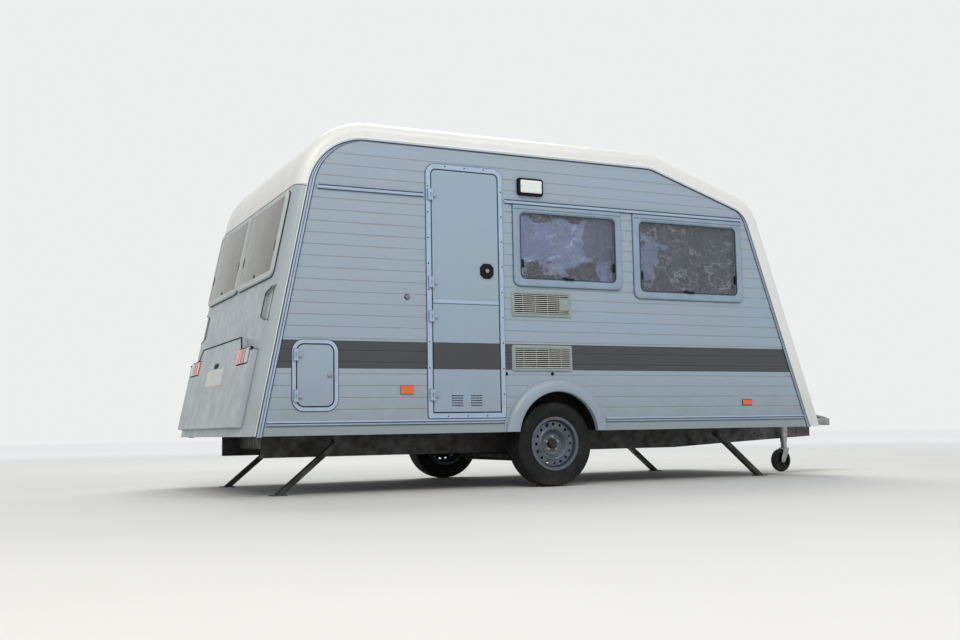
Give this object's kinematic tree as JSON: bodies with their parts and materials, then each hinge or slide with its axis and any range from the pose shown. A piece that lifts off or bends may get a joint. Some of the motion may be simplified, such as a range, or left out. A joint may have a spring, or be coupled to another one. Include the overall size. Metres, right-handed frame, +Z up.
{
  "type": "travel caravan",
  "caption": "Single-axle travel caravan with a leaning nose, stable door, windows all round, overrun coupling, nose wheel and corner legs.",
  "frame": {"origin": "on the ground under the middle of the overall length, on the centre line", "axes": "+X forward to the coupling, +Y to the left side, +Z up; the door is in the right side, at -Y"},
  "size_m": [5.91, 2.31, 2.627],
  "materials": {
    "shell_paint": "satin, aged",
    "moulding": "satin, aged",
    "floor_board": "matt",
    "wheel_box_sheet": "matt",
    "trim_aluminium": "brushed",
    "window_frame": "satin",
    "window_pane": "polished",
    "door_paint": "satin, aged",
    "black_plastic": "matt",
    "vent_plastic": "matt",
    "lamp_lens": "polished",
    "tail_lens": "polished",
    "gas_lining": "matt",
    "chassis_steel": "matt, some rust",
    "galvanised": "dull zinc",
    "drum_iron": "rough",
    "wheel_paint": "satin, dirty",
    "tyre_rubber": "matt",
    "gaiter_rubber": "matt"
  },
  "bodies": {
    "caravan": {"rear_cap": "moulding", "roof_panel": "moulding", "front_cap": "moulding", "rear_wall": "moulding", "front_wall": "moulding", "side_wall_right": "shell_paint", "side_wall_left": "shell_paint", "floor": "floor_board", "wheel_boxes": "wheel_box_sheet", "arch_flanges": "moulding", "sill_rails": "trim_aluminium", "edge_strips": "trim_aluminium", "window_rails": "trim_aluminium", "window_frames": "window_frame", "window_panes": "window_pane", "door_frame": "trim_aluminium", "locker_frame": "trim_aluminium", "side_vents": "vent_plastic", "porch_lamp": "black_plastic", "porch_lens": "lamp_lens", "hatch_frame": "moulding", "gas_box": "gas_lining", "gas_hinges": "galvanised", "rear_valance": "moulding", "tail_lamps": "tail_lens", "grab_handles": "black_plastic", "side_members": "chassis_steel", "drawbars": "chassis_steel", "cross_members": "chassis_steel", "axle_tube": "chassis_steel", "trailing_arms": "chassis_steel", "draw_gear": "chassis_steel", "draw_gaiter": "gaiter_rubber", "coupling_head": "galvanised", "brake_lever": "galvanised", "jockey_clamp": "galvanised", "leg_brackets": "galvanised"},
    "wheel_right": {"brake_drum_right": "drum_iron", "rim_right": "wheel_paint", "tyre_right": "tyre_rubber"},
    "wheel_left": {"brake_drum_left": "drum_iron", "rim_left": "wheel_paint", "tyre_left": "tyre_rubber"},
    "door_upper_leaf": {"door_upper": "door_paint", "door_lock": "black_plastic"},
    "door_lower_leaf": {"door_lower": "door_paint"},
    "locker_flap": {"locker_lid": "door_paint"},
    "gas_flap": {"gas_lid": "moulding"},
    "hatch_flap": {"hatch_lid": "moulding"},
    "leg_rear_right": {"leg_rear_right": "galvanised"},
    "leg_rear_left": {"leg_rear_left": "galvanised"},
    "leg_front_right": {"leg_front_right": "galvanised"},
    "leg_front_left": {"leg_front_left": "galvanised"},
    "nose_tube": {"jockey_tube": "galvanised"},
    "nose_fork": {"jockey_fork": "galvanised"},
    "nose_wheel": {"jockey_wheel": "gaiter_rubber"}
  },
  "joints": [
    {"name": "wheel_right_spin", "type": "hinge", "parent": "caravan", "child": "wheel_right", "pos_m": [-0.637, -0.99, 0.31], "axis": [0, 1, 0], "continuous": true},
    {"name": "wheel_left_spin", "type": "hinge", "parent": "caravan", "child": "wheel_left", "pos_m": [-0.637, 0.99, 0.31], "axis": [0, 1, 0], "continuous": true},
    {"name": "door_upper_swing", "type": "hinge", "parent": "caravan", "child": "door_upper_leaf", "pos_m": [-1.6075, -1.122, 1.76], "axis": [0, 0, -1], "range_deg": [0, 150]},
    {"name": "door_lower_swing", "type": "hinge", "parent": "caravan", "child": "door_lower_leaf", "pos_m": [-1.6075, -1.122, 0.938], "axis": [0, 0, -1], "range_deg": [0, 150]},
    {"name": "locker_swing", "type": "hinge", "parent": "caravan", "child": "locker_flap", "pos_m": [-2.5785, -1.122, 0.795], "axis": [0, 0, -1], "range_deg": [0, 120]},
    {"name": "gas_lid_lift", "type": "hinge", "parent": "caravan", "child": "gas_flap", "pos_m": [1.68813, 0, 1.01121], "axis": [0, -1, 0], "range_deg": [0, 95]},
    {"name": "hatch_lift", "type": "hinge", "parent": "caravan", "child": "hatch_flap", "pos_m": [-1.051, 0, 2.592], "axis": [0, -1, 0], "range_deg": [0, 55]},
    {"name": "leg_rear_right_fold", "type": "hinge", "parent": "caravan", "child": "leg_rear_right", "pos_m": [-2.197, -0.76, 0.346], "axis": [0, 1, 0], "range_deg": [0, 40]},
    {"name": "leg_rear_left_fold", "type": "hinge", "parent": "caravan", "child": "leg_rear_left", "pos_m": [-2.197, 0.76, 0.346], "axis": [0, 1, 0], "range_deg": [0, 40]},
    {"name": "leg_front_right_fold", "type": "hinge", "parent": "caravan", "child": "leg_front_right", "pos_m": [1.063, -0.76, 0.346], "axis": [0, -1, 0], "range_deg": [0, 40]},
    {"name": "leg_front_left_fold", "type": "hinge", "parent": "caravan", "child": "leg_front_left", "pos_m": [1.063, 0.76, 0.346], "axis": [0, -1, 0], "range_deg": [0, 40]},
    {"name": "nose_slide", "type": "slide", "parent": "caravan", "child": "nose_tube", "axis": [0, 0, 1], "range_m": [-0.12, 0.03]},
    {"name": "nose_swivel", "type": "hinge", "parent": "nose_tube", "child": "nose_fork", "pos_m": [2.1938, -0.24031, 0.24], "axis": [0, 0, 1], "continuous": true},
    {"name": "nose_wheel_spin", "type": "hinge", "parent": "nose_fork", "child": "nose_wheel", "pos_m": [2.1518, -0.24031, 0.1], "axis": [0, 1, 0], "continuous": true}
  ]
}
